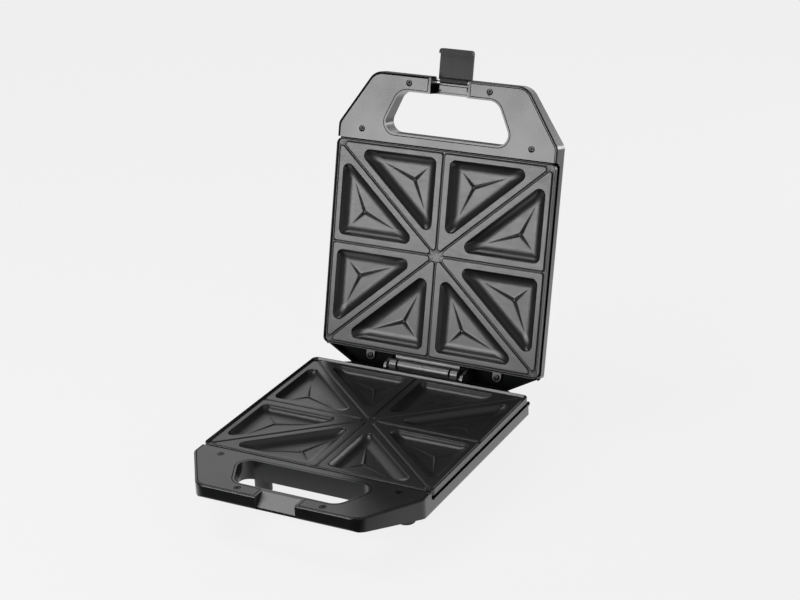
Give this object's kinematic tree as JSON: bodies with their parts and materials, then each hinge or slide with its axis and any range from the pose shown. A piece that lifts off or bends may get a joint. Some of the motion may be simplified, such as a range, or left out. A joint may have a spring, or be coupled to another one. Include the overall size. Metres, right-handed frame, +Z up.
{
  "type": "sandwich toaster",
  "caption": "Countertop sandwich toaster, open: handled base and lid on a rear hinge, triangular pockets in both plates, a swinging latch clip at the lid's front.",
  "frame": {"origin": "on the table, under the middle of the open toaster's overall length and width", "axes": "+X to the user's right, +Y towards the hinge and the back, +Z up; the lid stands open in the rest pose"},
  "size_m": [0.245, 0.3952, 0.3678],
  "materials": {
    "casing_plastic": "satin black moulding",
    "cover_plastic": "satin black flat moulding",
    "clip_plastic": "fine-grained black moulding",
    "nonstick_plate": "semi-gloss black non-stick coating on cast aluminium",
    "heater_steel": "dull heat-tinted tube",
    "sheet_aluminium": "plain pressed sheet",
    "thermostat_brass": "dull metal can",
    "pale_insulator": "pale heat-proof moulding",
    "lead_insulation": "silicone sleeve",
    "black_rubber": "matt rubber",
    "screw_steel": "blackened screw with worn edges",
    "bracket_metal": "black coated steel",
    "pin_steel": "drawn steel",
    "red_lens": "clear red",
    "green_lens": "clear green"
  },
  "bodies": {
    "base": {"base_casing": "casing_plastic", "base_handle_cover": "cover_plastic", "base_plate": "nonstick_plate", "base_heater": "heater_steel", "base_reflector": "sheet_aluminium", "thermostat": "thermostat_brass", "thermal_fuse": "pale_insulator", "terminal_block": "pale_insulator", "base_wiring": "lead_insulation", "cord_gland": "black_rubber", "rubber_feet": "black_rubber", "base_cover_screws": "screw_steel", "base_plate_screws": "screw_steel", "base_hinge_bracket": "bracket_metal", "base_bracket_screws": "screw_steel", "hinge_pin": "pin_steel"},
    "lid": {"lid_casing": "casing_plastic", "lid_handle_cover": "cover_plastic", "lid_plate": "nonstick_plate", "lid_heater": "heater_steel", "lid_reflector": "sheet_aluminium", "lid_wiring": "lead_insulation", "lid_cover_screws": "screw_steel", "lid_plate_screws": "screw_steel", "lid_hinge_bracket": "bracket_metal", "lid_bracket_screws": "screw_steel", "power_lens": "red_lens", "ready_lens": "green_lens", "lamp_holders": "pale_insulator", "latch_pin": "pin_steel"},
    "latch": {"latch_clip": "clip_plastic"}
  },
  "joints": [
    {"name": "lid_hinge", "type": "hinge", "parent": "base", "child": "lid", "pos_m": [0, 0.10051, 0.0539], "axis": [1, 0, 0], "range_deg": [0, 104]},
    {"name": "latch_pivot", "type": "hinge", "parent": "lid", "child": "latch", "pos_m": [0, 0.18597, 0.33631], "axis": [1, 0, 0], "range_deg": [0, 90]}
  ]
}
